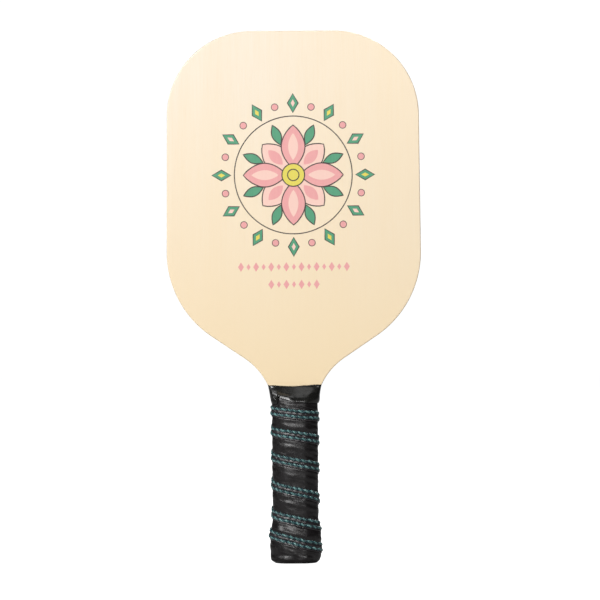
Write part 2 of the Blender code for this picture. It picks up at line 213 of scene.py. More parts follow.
# -------- mesh helpers

def add_object(name, data):
    made = bpy.data.objects.new(name, data)
    bpy.context.scene.collection.objects.link(made)
    return made


def add_piece(name, points, faces, materials, smooth=True, face_materials=None):
    """A mesh piece on the paddle's body. Face materials tells which material each face takes."""
    mesh = bpy.data.meshes.new(name)
    mesh.from_pydata(np.asarray(points, float).reshape(-1, 3).tolist(), [], faces)
    for material in materials:
        mesh.materials.append(material)
    mesh.polygons.foreach_set("use_smooth", np.full(len(mesh.polygons), smooth))
    if face_materials is not None:
        mesh.polygons.foreach_set("material_index", np.asarray(face_materials, np.int32))
    mesh.validate()
    shape = bmesh.new()
    shape.from_mesh(mesh)
    bmesh.ops.recalc_face_normals(shape, faces=shape.faces)
    shape.to_mesh(mesh)
    shape.free()
    piece = add_object(name, mesh)
    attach(piece, "root")
    return piece


def grid_faces(rows, columns, close_rows=False, first=0):
    """Quads over closed rings of points, stored one ring after another."""
    row = np.arange(rows if close_rows else rows - 1)[:, None]
    ring, next_ring = row * columns, (row + 1) % rows * columns
    point = np.arange(columns)
    following = (point + 1) % columns
    corners = (ring + point, ring + following, next_ring + following, next_ring + point)
    return (np.stack(corners, -1).reshape(-1, 4) + first).tolist()


def end_faces(rows, columns, first=0):
    """The two caps of a tube made of such rings."""
    last = first + (rows - 1) * columns
    return [list(range(first, first + columns))[::-1], list(range(last, last + columns))]


def smoothstep(low, high, value):
    share = np.clip((value - low) / (high - low), 0.0, 1.0)
    return share * share * (3 - 2 * share)


def hashed(ix, iy, iz, seed):
    """A repeatable number from 0 to 1 for each lattice point."""
    mixed = (ix * 374761393 + iy * 668265263 + iz * 1274126177 + seed * 974634777) & 0xFFFFFFFF
    mixed = ((mixed ^ (mixed >> 13)) * 1103515245) & 0xFFFFFFFF
    mixed = ((mixed ^ (mixed >> 16)) * 2246822519) & 0xFFFFFFFF
    return ((mixed ^ (mixed >> 15)) & 0xFFFFFF) / 0xFFFFFF


def noise_at(seed, *axes):
    """Smooth noise from -1 to 1 with features one unit across, where three coordinates say."""
    points = np.stack(np.broadcast_arrays(*axes), -1)
    cell = np.floor(points).astype(np.int64)
    inside = points - cell
    ease = inside ** 3 * (inside * (inside * 6 - 15) + 10)
    total = np.zeros(points.shape[:-1])
    for corner in range(8):
        steps = [(corner >> axis) & 1 for axis in range(3)]
        weight = 1.0
        for axis in range(3):
            weight = weight * (ease[..., axis] if steps[axis] else 1 - ease[..., axis])
        total = total + weight * hashed(*[cell[..., axis] + steps[axis] for axis in range(3)], seed)
    return total * 2 - 1


def soft_profile(knots, position, ease):
    """A profile given as (position, value) knots, its corners softened."""
    return sum(np.interp(position + shift, *zip(*knots)) for shift in (-ease, 0.0, ease)) / 3


# -------- handle surface

def section_tables():
    """The handle section as a table over its outline, and the table's slopes.

    A row holds a point's x as a share of the half-width and an inset, its y as a constant and a share
    of the half-depth, and the rise of the ridge.
    """
    right = []
    for inset, rise in zip(CORNER_INSETS, CORNER_RISES):
        right.append((1.0, -inset, -SIDE_FLAT_HALF * (1 - rise), -rise))
    left = [(-sx, -cx, cy, dy) for sx, cx, cy, dy in right]
    front = left + right[::-1]
    rows = np.array(front + [tuple(-value for value in row) for row in front])
    middle = (rows[0] + rows[-1]) / 2
    rows = np.vstack([middle, rows, middle])
    x = rows[:, 0] * TANG_HALF_WIDTH + rows[:, 1]
    y = rows[:, 2] + rows[:, 3] * HANDLE_HALF_DEPTH
    travelled = np.concatenate([[0.0], np.cumsum(np.hypot(np.diff(x), np.diff(y)))])
    perimeter = travelled[-1]
    fraction = np.arange(SECTION_SAMPLES) / SECTION_SAMPLES
    places = fraction * perimeter
    table = np.stack([np.interp(places, travelled, column) for column in rows.T], 1)
    from_ridge = np.minimum(abs(fraction - FRONT_MIDDLE), abs(fraction - BACK_MIDDLE)) * perimeter
    ridge = np.clip(1 - from_ridge / RIDGE_REACH, 0.0, None) * RIDGE_RISE
    table = np.column_stack([table, ridge])
    spacing = perimeter / SECTION_SAMPLES
    reach = int(4 * SECTION_SOFTNESS / spacing)
    shifts = np.arange(-reach, reach + 1)
    weights = np.exp(-0.5 * (shifts * spacing / SECTION_SOFTNESS) ** 2)
    weights /= weights.sum()
    softened = sum(weight * np.roll(table, shift, 0) for shift, weight in zip(shifts, weights))
    slopes = (np.roll(softened, -1, 0) - np.roll(softened, 1, 0)) / 2
    return softened, slopes


SECTION, SECTION_SLOPE = section_tables()


def look_up(table, fraction):
    """Rows of a section table at fractions of the way round."""
    position = np.mod(fraction, 1.0) * SECTION_SAMPLES
    index = np.floor(position).astype(int)
    share = (position - index)[..., None]
    return table[index % SECTION_SAMPLES] * (1 - share) + table[(index + 1) % SECTION_SAMPLES] * share


def half_width(height):
    """Half-width of the wood under the wrap, with the neck cut back for the tape."""
    rise = np.clip(height - NECK_TOP, 0.0, NECK_RADIUS * 0.9)
    neck = TANG_HALF_WIDTH + NECK_RADIUS - np.sqrt(NECK_RADIUS ** 2 - rise ** 2)
    return np.maximum(TANG_HALF_WIDTH, neck - TAPE_SEAT_DEPTH)


def half_depth(height):
    """Half-depth under the wrap, easing down on to the blade over the scales' bevels."""
    return HANDLE_HALF_DEPTH - (HANDLE_HALF_DEPTH - TOP_HALF_DEPTH) * smoothstep(*EASE_HEIGHTS, height)


def base_offset(height):
    """How far the surface under the wrap stands off the wood, eased over the cap's corners."""
    return soft_profile(CAP_PROFILE, height, CAP_EASE)


def handle_wall(fraction, height):
    """The wood's surface: x, y, the outward normal's x and y, and the rise of the flat faces' ridge."""
    row = look_up(SECTION, fraction)
    slope = look_up(SECTION_SLOPE, fraction)
    width = half_width(height)
    depth = half_depth(height)
    x = row[..., 0] * width + row[..., 1]
    y = row[..., 2] + row[..., 3] * depth
    along_x = slope[..., 0] * width + slope[..., 1]
    along_y = slope[..., 2] + slope[..., 3] * depth
    length = np.hypot(along_x, along_y)
    return x, y, along_y / length, -along_x / length, row[..., 4]


def handle_point(fraction, height, distance, ridged=1.0):
    """Points at a distance from the handle, with the flat faces' ridge unless ridged is 0."""
    fraction, height, distance = np.broadcast_arrays(fraction, height, distance)
    x, y, out_x, out_y, ridge = handle_wall(fraction, height)
    stand = base_offset(height) + distance + ridged * ridge
    return np.stack([x + out_x * stand, y + out_y * stand, height], -1)


# -------- wound strip

def rib_table():
    """Height of the rib against turns wound: straight between the front's two edges, then softened."""
    index = np.arange(len(RIB_HEIGHTS))
    at_left = index % 2 == 0
    crossings = index / 2 + np.where(at_left, FRONT_EDGE, -FRONT_EDGE)
    turns = np.arange(-0.5, 9.0, 1 / 256)
    sagged = np.array(RIB_HEIGHTS) - np.where(at_left, LEFT_SAG, RIGHT_SAG)
    heights = np.interp(turns, crossings, sagged)
    reach = np.arange(-48, 49)
    weights = np.exp(-0.5 * (reach / 13) ** 2)
    softened = np.convolve(heights, weights / weights.sum(), mode="same")
    return turns, np.where(turns < 0.0, heights, softened)


RIB_TURNS, RIB_SOFTENED = rib_table()


def rib_line(turn):
    """Height of the rib, with the small wander of a hand-wound strip."""
    sway = RIB_SWAY * noise_at(5, np.asarray(turn, float) * 5.3, 0.0, 0.0)
    return np.interp(turn, RIB_TURNS, RIB_SOFTENED) + sway


def lip_height(turn):
    """Height of the strip's lower edge."""
    return rib_line(np.maximum(turn, 0.0)) - EDGE_BELOW_RIB


def rib_strength(turn):
    """1 where the rib is stitched, falling to 0 at both ends of the strip."""
    begun = smoothstep(RIB_START - 0.03, RIB_START + 0.05, turn)
    return begun * (1 - smoothstep(RIB_END - 0.02, RIB_END + 0.04, turn))


def butt_rounding(turn, height):
    """How much the wrap draws in as it rolls round the butt's edge, tighter on faces than at sides."""
    side = abs(np.cos(2 * np.pi * turn)) ** 1.5
    reach = 0.0034 + 0.0028 * side
    depth = 0.0022 + 0.0018 * side
    share = np.clip((reach - height) / reach, 0.0, 1.0)
    return depth * (1 - np.sqrt(1 - share ** 2))


def skin_distance(turn, height):
    """How far the strip's outside stands off the handle, worked out in millimetres."""
    up = (height - lip_height(turn)) / MM
    next_lip = np.where(turn >= 1.0, lip_height(turn - 1), STRIP_TOP + 0.002)
    below_next = (next_lip - height) / MM
    along = turn * STRIP_TURN
    beat = 2 * np.pi * along / STITCH_PITCH
    drift = along / 0.016
    from_rib = up - EDGE_BELOW_RIB / MM
    strength = rib_strength(turn)

    # The flat of the strip: raised along the lip, swollen below the next turn, and drawn in under it
    distance = SKIN_STAND + 0.12 * np.exp(-((up - 1.0) / 3.0) ** 2)
    distance = distance - 0.38 * smoothstep(0.5, -0.9, below_next)
    swell = (0.23 + 0.05 * noise_at(17, drift, 0.0, 1.7)) * np.exp(-((below_next - 5.4) / 1.7) ** 2)
    distance = distance + swell * smoothstep(7.0, 9.0, up)

    # The folded lip, the crest over the cord, and the groove that each row of stitches pulls
    lip_swell = 0.42 + 0.10 * noise_at(18, drift * 2.3, 0.0, 1.7 * 2.3)
    lip_swell = lip_swell * soft_profile(LIP_SWELL, up, 0.22)
    crest = 0.72 + 0.08 * np.cos(beat + 0.6) + 0.14 * noise_at(19, drift * 3.0, 0.0, 1.7 * 3.0)
    crest = crest * soft_profile(CREST_SWELL, up, 0.28)
    groove_depth = 0.38 * (0.75 + 0.25 * np.cos(beat))
    grooves = groove_depth * sum(np.exp(-((from_rib - row) / 0.60) ** 2) for row in (-2.0, 2.0))
    distance = distance + lip_swell * (0.35 + 0.65 * strength) + strength * (crest - grooves)

    # Puckers beside the stitches, and wrinkles and creases that are strongest away from the rib
    near_rows = np.exp(-(np.maximum(abs(from_rib) - 2.2, 0.0) / 2.2) ** 2) * strength
    distance = distance + 0.10 * near_rows * np.sin(beat + from_rib * 1.1)
    wrinkle = noise_at(11, along / 0.0075, up / 2.6, 0.0)
    wrinkle = wrinkle + 0.6 * noise_at(12, along / 0.0075 * 2.1, up / 2.6 * 2.1, 0.0)
    crease = 1 - abs(noise_at(13, (along + up * MM * 0.8) / 0.0045, up / 3.4, 3.3)) * 2.2
    away = 0.22 + 0.78 * smoothstep(6.6, 9.0, up)
    distance = distance + away * (0.15 * wrinkle + 0.10 * np.clip(crease, -0.2, 1.0))

    # Pressed flat under the tape, and folded over at the front of the butt
    press = smoothstep(*PRESS_HEIGHTS, height)
    distance = distance * (1 - press) + np.minimum(distance, 1.45) * press
    place = np.mod(turn, 1.0)
    fold = 1.7 * np.exp(-((place - 0.125) / 0.095) ** 4)
    fold = fold + 1.15 * np.exp(-((place - 0.311) / 0.036) ** 4)
    distance = distance + 0.70 * fold * soft_profile(BUTT_FOLD, height / MM - BUTT_FOLD_HEIGHT, 0.4)
    return distance * MM - butt_rounding(turn, height)


def strip_heights(turn):
    """Heights across the strip for a column of turns, from the lip up to the hidden upper edge."""
    lip = lip_height(turn)
    lower = np.maximum(lip, STRIP_BOTTOM)
    above = np.where(turn >= 1.0, lip_height(turn - 1) + STRIP_OVERLAP, STRIP_TOP)
    upper = np.maximum(np.minimum(above, STRIP_TOP), lower + 0.0004)
    at_lip = [0.0, 0.05, 0.15, 0.3, 0.5, 0.75, 1.0, 1.25, 1.5, 1.75]
    near = lip + np.concatenate([at_lip, np.arange(2.0, 7.3, 0.22), [7.6, 8.0]]) * MM
    top = np.clip(near[:, -1:], lower, upper)
    heights = np.concatenate([near, top + (upper - top) * np.linspace(0, 1, 20)[1:]], 1)
    step = (upper - lower) * 0.002
    index = np.arange(heights.shape[1])
    return np.minimum(np.maximum(heights, lower + step * index), upper - step * index[::-1])


def lip_edge(turn, height, outer):
    """Rounds the strip's cut lower edge: its outside falls away within half a millimetre of the lip."""
    lip = np.maximum(lip_height(turn), STRIP_BOTTOM)
    share = np.clip((height - lip) / 0.0005, 0.0, 1.0)
    return outer - 0.00042 * (1 - np.sqrt(1 - (1 - share) ** 2))


def strip_inside(turn, height):
    """Distance of the skin's underside: over the turn below near the lip, then down on the cushion."""
    lip = lip_height(turn)
    up = height - lip
    grounded = smoothstep(0.0, 0.004, lip - STRIP_BOTTOM)
    resting = 0.00148 - 0.00045 * smoothstep(0.0026, 0.0040, up)
    cord_room = 0.0009 * np.exp(-((up - EDGE_BELOW_RIB) / 0.0010) ** 2) * rib_strength(turn)
    press = smoothstep(*PRESS_HEIGHTS, height)
    inside = grounded * resting + (1 - grounded) * 0.00103
    inside = (1 - press) * (inside + cord_room) + press * 0.0008
    return inside - butt_rounding(turn, height)


def add_band(name, turn, heights, distances, materials, stretched=None):
    """A band wound round the handle, with a ring round its cross-section for each of a column of turns.

    Quads that the mask marks take the second material, whose paler colour is partly a painted
    highlight.
    """
    rings = handle_point(turn, heights, distances)
    faces = grid_faces(*heights.shape) + end_faces(*heights.shape)
    kinds = None
    if stretched is not None:
        kinds = np.concatenate([stretched[:-1].reshape(-1), [False, False]]).astype(int)
    return add_piece(name, rings, faces, materials, face_materials=kinds)


def add_strip(materials):
    """The wound skin, as one continuous strip whose lower edge laps over the turn below.

    The second material is for the leather drawn tight over the cord and the lip: glossier, and paler as
    a painted highlight on those raised parts.
    """
    turn = np.arange(0.06, 7.90, 1 / 128)[:, None]
    across = strip_heights(turn)
    outer = lip_edge(turn, across, skin_distance(turn, across))
    under = across[:, ::-4][:, :-1]
    inner = np.minimum(strip_inside(turn, under), outer[:, ::-4][:, :-1] - 0.0003)
    lip = across[:, :1]
    lip_low = np.minimum(strip_inside(turn, lip), outer[:, :1] - 0.0001)
    heights = np.concatenate([across, under, lip], 1)
    distances = np.concatenate([outer, inner, lip_low], 1)
    up = heights - lip_height(turn)
    outside = np.arange(heights.shape[1]) < across.shape[1]
    over_cord = outside & (abs(up - EDGE_BELOW_RIB) < STITCH_OFFSET + 0.0002)
    on_lip = outside & (up < EDGE_BELOW_RIB - STITCH_OFFSET)
    # Painted highlight: the quads over the cord and on the lip take the paler skin.
    stretched = (over_cord | on_lip) & (rib_strength(turn) > 0.5)
    heights, distances, stretched = (grid[:, ::-1] for grid in (heights, distances, stretched))
    return add_band("grip_skin_strip", turn, heights, distances, materials, stretched)


def add_cushion(materials):
    """The foam band under the skin, wound edge to edge."""
    turn = np.arange(0.10, 7.60, 1 / 64)[:, None]
    lower = np.maximum(lip_height(turn) + 0.0006, STRIP_BOTTOM + 0.0010)
    above = np.where(turn >= 1.0, lip_height(turn - 1), STRIP_TOP - 0.001)
    upper = np.maximum(above, lower + 0.0003)
    across = lower + (upper - lower) * np.linspace(0.0, 1.0, 9)
    rounding = butt_rounding(turn, across)
    inner = 0.0002 - rounding
    outer = np.where(across > 0.1165, 0.00055, 0.00085) - rounding
    heights = np.concatenate([across, across[:, ::-1]], 1)
    distances = np.concatenate([inner, outer[:, ::-1]], 1)
    return add_band("grip_cushion_band", turn, heights, distances, materials)


def frames_along(points):
    """Directions away from the handle's axis and across, along each path."""
    along = np.gradient(points, axis=-2)
    along /= np.linalg.norm(along, axis=-1, keepdims=True)
    outward = points * np.array([1.0, 1.0, 0.0])
    outward -= (outward * along).sum(-1, keepdims=True) * along
    outward /= np.linalg.norm(outward, axis=-1, keepdims=True)
    return outward, np.cross(along, outward)


def tube_rings(path, radius):
    """Rings of points round a path. Radius is a number, or one value for each point of the path."""
    outward, across = frames_along(path)
    angle = (np.arange(TUBE_SIDES) / TUBE_SIDES * 2 * np.pi)[:, None]
    radius = np.broadcast_to(radius, path.shape[:-1])[..., None, None]
    spread = np.cos(angle) * outward[..., None, :] + np.sin(angle) * across[..., None, :]
    return path[..., None, :] + radius * spread


def tube_mesh(rings):
    """Points and faces of many capped tubes, given as tubes x rings x sides x 3."""
    tubes, count, sides = rings.shape[:3]
    faces = []
    for tube in range(tubes):
        first = tube * count * sides
        faces += grid_faces(count, sides, first=first) + end_faces(count, sides, first)
    return rings.reshape(-1, 3), faces


def add_stitch_row(name, offset, first_turn, phase, materials):
    """One row of stitching: a light and a dark ply twisted together, pulled in once in every twist."""
    turns = np.arange(first_turn, RIB_END + 0.01, 1 / 400)
    along = turns * STRIP_TURN
    wander = np.stack([along / 0.011, np.full_like(along, offset * 900)])
    twist = 2 * np.pi * (along / STITCH_PITCH + phase) + 1.5 * noise_at(21, *wander, 0.0)
    height = rib_line(turns) + offset
    lift = 0.00020 + 0.00010 * np.cos(twist)
    centre_line = handle_point(turns, height, skin_distance(turns, height) + lift)
    outward, across = frames_along(centre_line)
    fullness = 1 + 0.10 * noise_at(23, *wander * 1.7, 0.0)
    plies = []
    for lead in (0.0, np.pi):
        swing = np.cos(twist + lead)[:, None] * outward + np.sin(twist + lead)[:, None] * across
        plies.append(tube_rings(centre_line + PLY_SWING * swing, PLY_RADIUS * fullness))
    points, faces = tube_mesh(np.stack(plies))
    kinds = np.repeat([0, 1], len(faces) // 2)
    return add_piece(name, points, faces, materials, face_materials=kinds)


def add_cord(materials):
    """The cord that fills the rib."""
    turns = np.arange(RIB_START + 0.06, RIB_END, 1 / 48)
    path = handle_point(turns, rib_line(turns), CORD_STAND)[None]
    points, faces = tube_mesh(tube_rings(path, CORD_RADIUS))
    return add_piece("grip_rib_core", points, faces, materials)


# -------- tape, cap and scales

def tape_top(fraction):
    """The tape's wavy upper edge, lowest at the middle of the front and of the back."""
    front = np.exp(-((fraction - 0.235) / 0.075) ** 2)
    right = np.exp(-((fraction - 0.40) / 0.09) ** 2)
    back = np.exp(-((fraction - 0.78) / 0.06) ** 2)
    return TAPE_TOP - 0.0007 * front + 0.0004 * right - 0.0006 * back


def tape_low(fraction):
    """The tape's lower edge: level at the back, and drawn up into a notch at the front left."""
    from_middle = (np.mod(fraction, 1.0) - FRONT_MIDDLE) * STRIP_TURN / MM
    return soft_profile(TAPE_EDGE, from_middle, 0.5) * MM


def tape_flap(fraction, height, distance):
    """The tape's loose end beside the notch, which stands off as a flat facet facing up to the left."""
    along = (fraction - FRONT_MIDDLE) * STRIP_TURN
    above = (height - tape_low(fraction)) / MM
    x, y, out_x, out_y, ridge = handle_wall(fraction, height)
    level = FLAP_STAND - FLAP_ACROSS * FLAP_PLACE[0] - FLAP_UP * (height - FLAP_PLACE[1])
    stand = -(level + FLAP_ACROSS * x + y) / (out_y + FLAP_ACROSS * out_x)
    facet = (stand - base_offset(height) - ridge) / MM
    facet = np.clip(facet, distance, distance + FLAP_MOST)
    present = smoothstep(-0.0134, -0.0112, along) * (1 - smoothstep(-0.0052, 0.0000, along))
    reach = 1.0 + 0.7 * smoothstep(-0.0115, -0.0080, along)
    share = present * (1 - smoothstep(reach, reach + 3.4, above))
    return distance * (1 - share) + facet * share


def tape_distance(fraction, height):
    """How far the tape's outside stands off the handle, worked out in millimetres."""
    distance = soft_profile(TAPE_PROFILE, height, 0.0004)
    x = (fraction - FRONT_MIDDLE) * STRIP_TURN
    wave = noise_at(32, x / 0.009, height / 0.0035, 0.0)
    fold = noise_at(31, (x + (height - 0.12) * 0.9) / 0.0042, (height - x * 0.25) / 0.0060, 5.0)
    crease = np.clip(1 - 2.4 * abs(fold), -0.3, 1.0)
    fade = smoothstep(0.1172, 0.1186, height) * (1 - smoothstep(0.1294, 0.1308, height))
    left = 0.20 + 0.80 * (1 - smoothstep(-0.014, -0.010, x)) * smoothstep(-0.040, -0.020, x)
    distance = distance + fade * (0.08 * wave + 0.12 * left * crease)
    from_right = ((fraction - RIGHT_EDGE) / 0.075) ** 2 + ((height - 0.1202) / 0.0030) ** 2
    return tape_flap(fraction, height, distance + 0.65 * np.exp(-from_right)) * MM


def add_tape(materials):
    """The band of tape: its outside with folds, and an inside that hugs the strip and the neck."""
    fraction = np.arange(SECTION_SAMPLES) / SECTION_SAMPLES
    share = np.linspace(0.0, 1.0, 64)[:, None]
    low = tape_low(fraction)
    heights = low + (tape_top(fraction) - low) * share
    from_edge = [np.clip(1 - part / 0.03, 0.0, 1.0) for part in (share, 1 - share)]
    low_round, top_round = (1 - np.sqrt(1 - part ** 2) for part in from_edge)
    outer = tape_distance(fraction, heights) - 0.00022 * low_round - 0.00030 * top_round
    inside = heights[::-8]
    inner = np.clip(tape_distance(fraction, inside) - TAPE_THICKNESS, 0.0001, 0.0016)
    rings = np.concatenate([
        handle_point(fraction, heights, outer),
        handle_point(fraction, inside, np.minimum(inner, outer[::-8] - 0.0002)),
    ])
    faces = grid_faces(len(rings), SECTION_SAMPLES, close_rows=True)
    return add_piece("finishing_tape_band", rings, faces, materials)


def cap_ring(height, stand):
    """One outline of the cap, from its height and its distance off the wood in millimetres."""
    fraction = np.arange(SECTION_SAMPLES) / SECTION_SAMPLES
    distance = stand * MM - base_offset(CAP_SECTION_HEIGHT)
    ring = handle_point(fraction, CAP_SECTION_HEIGHT, distance, 0.0)
    ring[:, 2] = height * MM
    return ring


def add_cap(materials):
    """The moulded cup under the wrap, with a shallow moulded ring in its end face."""
    rings = [cap_ring(*outline) for outline in CAP_RINGS + CAP_INSIDE]
    faces = grid_faces(len(CAP_RINGS), SECTION_SAMPLES)
    start = len(CAP_RINGS) * SECTION_SAMPLES
    faces.append(list(range(start - SECTION_SAMPLES, start)))
    faces += [face[::-1] for face in grid_faces(2, SECTION_SAMPLES, first=start)]
    top = np.arange(SECTION_SAMPLES)
    following = (top + 1) % SECTION_SAMPLES
    faces += np.stack([following, top, top + start, following + start], 1).tolist()
    faces.append(list(range(start + SECTION_SAMPLES, start + 2 * SECTION_SAMPLES))[::-1])
    return add_piece("butt_cap_shell", rings, faces, materials)


def add_scale(name, side, materials):
    """One cheek of the handle, hidden by the wrap, with its bevelled top tucked under the tape."""
    rings = []
    for height in SCALE_HEIGHTS:
        width = half_width(height)
        rise = half_depth(height) - SIDE_FLAT_HALF
        half = [(width, SCALE_INNER)]
        for inset, share in zip(CORNER_INSETS[1:], CORNER_RISES[1:]):
            half.append((width - inset, SIDE_FLAT_HALF + share * rise))
        outline = half + [(-x, y) for x, y in reversed(half)]
        rings.append([(x, side * y, height) for x, y in outline])
    rows, columns = len(rings), len(rings[0])
    faces = grid_faces(rows, columns) + end_faces(rows, columns)
    if side < 0:
        faces = [face[::-1] for face in faces]
    return add_piece(name, rings, faces, materials, smooth=False)


# -------- blade

def arc(centre, radius, start, end, steps):
    angle = np.linspace(start, end, steps + 1)
    return np.stack([centre[0] + radius * np.cos(angle), centre[1] + radius * np.sin(angle)], 1)


def blade_outline():
    """The blade's edge as (x, z), anticlockwise from the lower right of the tang."""
    seat_foot = NECK_TOP + math.sqrt(NECK_RADIUS ** 2 - (NECK_RADIUS - TAPE_SEAT_DEPTH) ** 2)
    heights = np.linspace(seat_foot, TAPE_SEAT_TOP, 12)
    seat_angle = math.asin((TAPE_SEAT_TOP - NECK_TOP) / NECK_RADIUS)
    neck_centre = (TANG_HALF_WIDTH + NECK_RADIUS, NECK_TOP)
    lower_centre = (HEAD_HALF_WIDTH - LOWER_CORNER_RADIUS, WIDEST_HEIGHT)
    upper_centre = (HEAD_TOP_HALF_WIDTH - TOP_CORNER_RADIUS, PADDLE_LENGTH - TOP_CORNER_RADIUS)
    right = np.vstack([
        [(TANG_HALF_WIDTH, TANG_BOTTOM), (TANG_HALF_WIDTH, 0.06)],
        np.stack([half_width(heights), heights], 1),
        arc(neck_centre, NECK_RADIUS, math.pi - seat_angle, math.pi - SHOULDER_ANGLE, 16),
        arc(lower_centre, LOWER_CORNER_RADIUS, -SHOULDER_ANGLE, 0.0, 28),
        arc(upper_centre, TOP_CORNER_RADIUS, 0.0, math.pi / 2, 44),
    ])
    return np.vstack([right, right[::-1] * np.array([-1.0, 1.0])])


def at_depth(outline, y):
    """An outline's points, which are given as (x, z), at one depth."""
    flat = np.array(outline)
    return np.stack([flat[:, 0], np.full(len(flat), y), flat[:, 1]], 1)


def inset_outline(outline, distance):
    """A closed anticlockwise outline moved inwards."""
    before = outline - np.roll(outline, 1, 0)
    after = np.roll(outline, -1, 0) - outline
    before /= np.linalg.norm(before, axis=1, keepdims=True)
    after /= np.linalg.norm(after, axis=1, keepdims=True)
    normal = np.stack([before[:, 1] + after[:, 1], -before[:, 0] - after[:, 0]], 1)
    normal /= np.linalg.norm(normal, axis=1, keepdims=True)
    return outline - normal * distance


def add_ply(name, index, materials):
    """One veneer, from glue line to glue line, with the face plies' arrises sanded round."""
    low = (index - len(PLY_NAMES) / 2) * PLY_PITCH
    high = low + PLY_PITCH
    bevel = GLUE_LINE_BEVEL
    profile = [(bevel, low), (0.0, low + bevel), (0.0, high - bevel), (bevel, high)]
    angles = np.linspace(0.0, math.pi / 2, 9)
    rounded = [(ARRIS_RADIUS * (1 - math.sin(a)), ARRIS_RADIUS * (1 - math.cos(a))) for a in angles]
    if index == 0:
        profile = [(inset, -FACE_HALF_DEPTH + depth) for inset, depth in rounded] + profile[2:]
    if index == len(PLY_NAMES) - 1:
        profile = profile[:2] + [(inset, FACE_HALF_DEPTH - depth) for inset, depth in reversed(rounded)]
    outline = blade_outline()
    rings = [at_depth(inset_outline(outline, inset), y) for inset, y in profile]
    rows, columns = len(rings), len(outline)
    faces = [face[::-1] for face in grid_faces(rows, columns)] + end_faces(rows, columns)
    piece = add_piece(name, rings, faces, materials)
    for flat_face in piece.data.polygons[-2:]:
        flat_face.use_smooth = False
    return piece


# -------- print

def prism(outline, top):
    """A flat shape on the front face, as points and faces. Top is how far it stands proud."""
    rings = [at_depth(outline, -FACE_HALF_DEPTH - stand) for stand in (INK_LOW, top)]
    return np.vstack(rings), grid_faces(2, len(outline)) + end_faces(2, len(outline))


def outline_band(outline, width, top):
    """A line of even width drawn round a closed outline, standing proud in the same way."""
    outer, inner = (inset_outline(np.array(outline), inset) for inset in (-width / 2, width / 2))
    loops = ((outer, INK_LOW), (outer, top), (inner, top), (inner, INK_LOW))
    rings = [at_depth(loop, -FACE_HALF_DEPTH - stand) for loop, stand in loops]
    return np.vstack(rings), grid_faces(4, len(outline), close_rows=True)


def turned(points, angle, centre):
    """Points given as (out, across) from a centre, turned to an angle."""
    cosine, sine = math.cos(angle), math.sin(angle)
    return [
        (centre[0] + out * cosine - across * sine, centre[1] + out * sine + across * cosine)
        for out, across in points
    ]


def petal(angle, start, end, width, fullness=0.8):
    """A pointed petal of the badge. A lower fullness fills out its sides."""
    side = []
    for share in np.linspace(0.0, 1.0, 15):
        side.append((start + (end - start) * share, -width / 2 * math.sin(math.pi * share) ** fullness))
    outline = side + [(out, -across) for out, across in side[-2:0:-1]]
    return turned(outline, angle, BADGE_CENTRE)


def spear(angle, length, width):
    """A lozenge in the badge's ring, pointing outwards."""
    low, high = RING_RADIUS - length / 2, RING_RADIUS + length / 2
    outline = [(low, 0.0), (RING_RADIUS, -width / 2), (high, 0.0), (RING_RADIUS, width / 2)]
    return turned(outline, angle, BADGE_CENTRE)


def lozenge(centre, width, height):
    x, z = centre
    return [(x, z - height / 2), (x + width / 2, z), (x, z + height / 2), (x - width / 2, z)]


def disc(centre, radius, steps=40):
    angles = np.arange(steps) / steps * 2 * math.pi
    return turned([(radius * math.cos(a), radius * math.sin(a)) for a in angles], 0.0, centre)


class Print:
    """Shapes collected by ink, for one piece of each. A higher layer covers a lower one."""

    def __init__(self):
        self.inks = {}

    def add(self, ink, points, faces):
        held_points, held_faces = self.inks.setdefault(ink, ([], []))
        start = len(held_points)
        held_points.extend(np.asarray(points).tolist())
        held_faces.extend([[index + start for index in face] for face in faces])

    def fill(self, ink, outline, layer=0):
        self.add(ink, *prism(outline, INK_LAYER * (layer + 1)))

    def line(self, outline, layer, width=LINE_WIDTH):
        self.add("dark", *outline_band(outline, width, INK_LAYER * (layer + 1)))


def draw_badge():
    """A plain ornament: a rosette in a ring of lozenges and dots, and two rows of lozenges below."""
    sheet = Print()
    step = 2 * math.pi / PETALS
    for index in range(PETALS):
        angle = math.pi / 2 + index * step
        leaf = petal(angle + step / 2, 0.0240, 0.0400, 0.0068, fullness=1.0)
        sheet.fill("green", leaf)
        sheet.line(leaf, 1)
        long = index % 2 == 0
        tip = LONG_TIP if long else SHORT_TIP
        layer = 4 if long else 2
        outline = petal(angle, 0.0050, tip, 0.0176)
        sheet.fill("pink" if long else "pale_pink", outline, layer)
        sheet.line(outline, layer + 1)
        inner = petal(angle, 0.0110, tip - 0.0060, 0.0074)
        sheet.fill("pale_pink" if long else "pink", inner, layer + 1)
    hub = disc(BADGE_CENTRE, HUB_RADIUS)
    sheet.fill("yellow", hub, 6)
    sheet.line(hub, 7)
    sheet.line(disc(BADGE_CENTRE, HUB_RADIUS / 2), 7)
    sheet.line(disc(BADGE_CENTRE, ROUND_LINE_RADIUS, 96), 0)
    for index in range(RING_SHAPES):
        angle = math.pi / 2 + index * 2 * math.pi / RING_SHAPES
        if index % 2 == 0:
            shape = spear(angle, 0.0140, 0.0080)
            sheet.fill("green", shape)
            sheet.line(shape, 1)
            sheet.fill("yellow" if index % 4 else "pale_pink", spear(angle, 0.0056, 0.0030), 2)
        else:
            dot = disc(turned([(DOT_RING, 0.0)], angle, BADGE_CENTRE)[0], DOT_RADIUS, 24)
            sheet.fill("pink", dot)
            sheet.line(dot, 1, DOT_LINE_WIDTH)
    for height, count in LOZENGE_ROWS:
        for index in range(count):
            x = (index - (count - 1) / 2) * LOZENGE_SPACING
            tall = 0.0070 if index % 2 == 0 else 0.0048
            sheet.fill("pink", lozenge((x, height), tall * 0.62, tall))
    return sheet


# -------- materials

def colour(*channels):
    """A display colour, 0 to 255 a channel, as the linear value that a shader takes."""
    shares = [value / 255 for value in channels]
    return (*(s / 12.92 if s <= 0.04045 else ((s + 0.055) / 1.055) ** 2.4 for s in shares), 1.0)


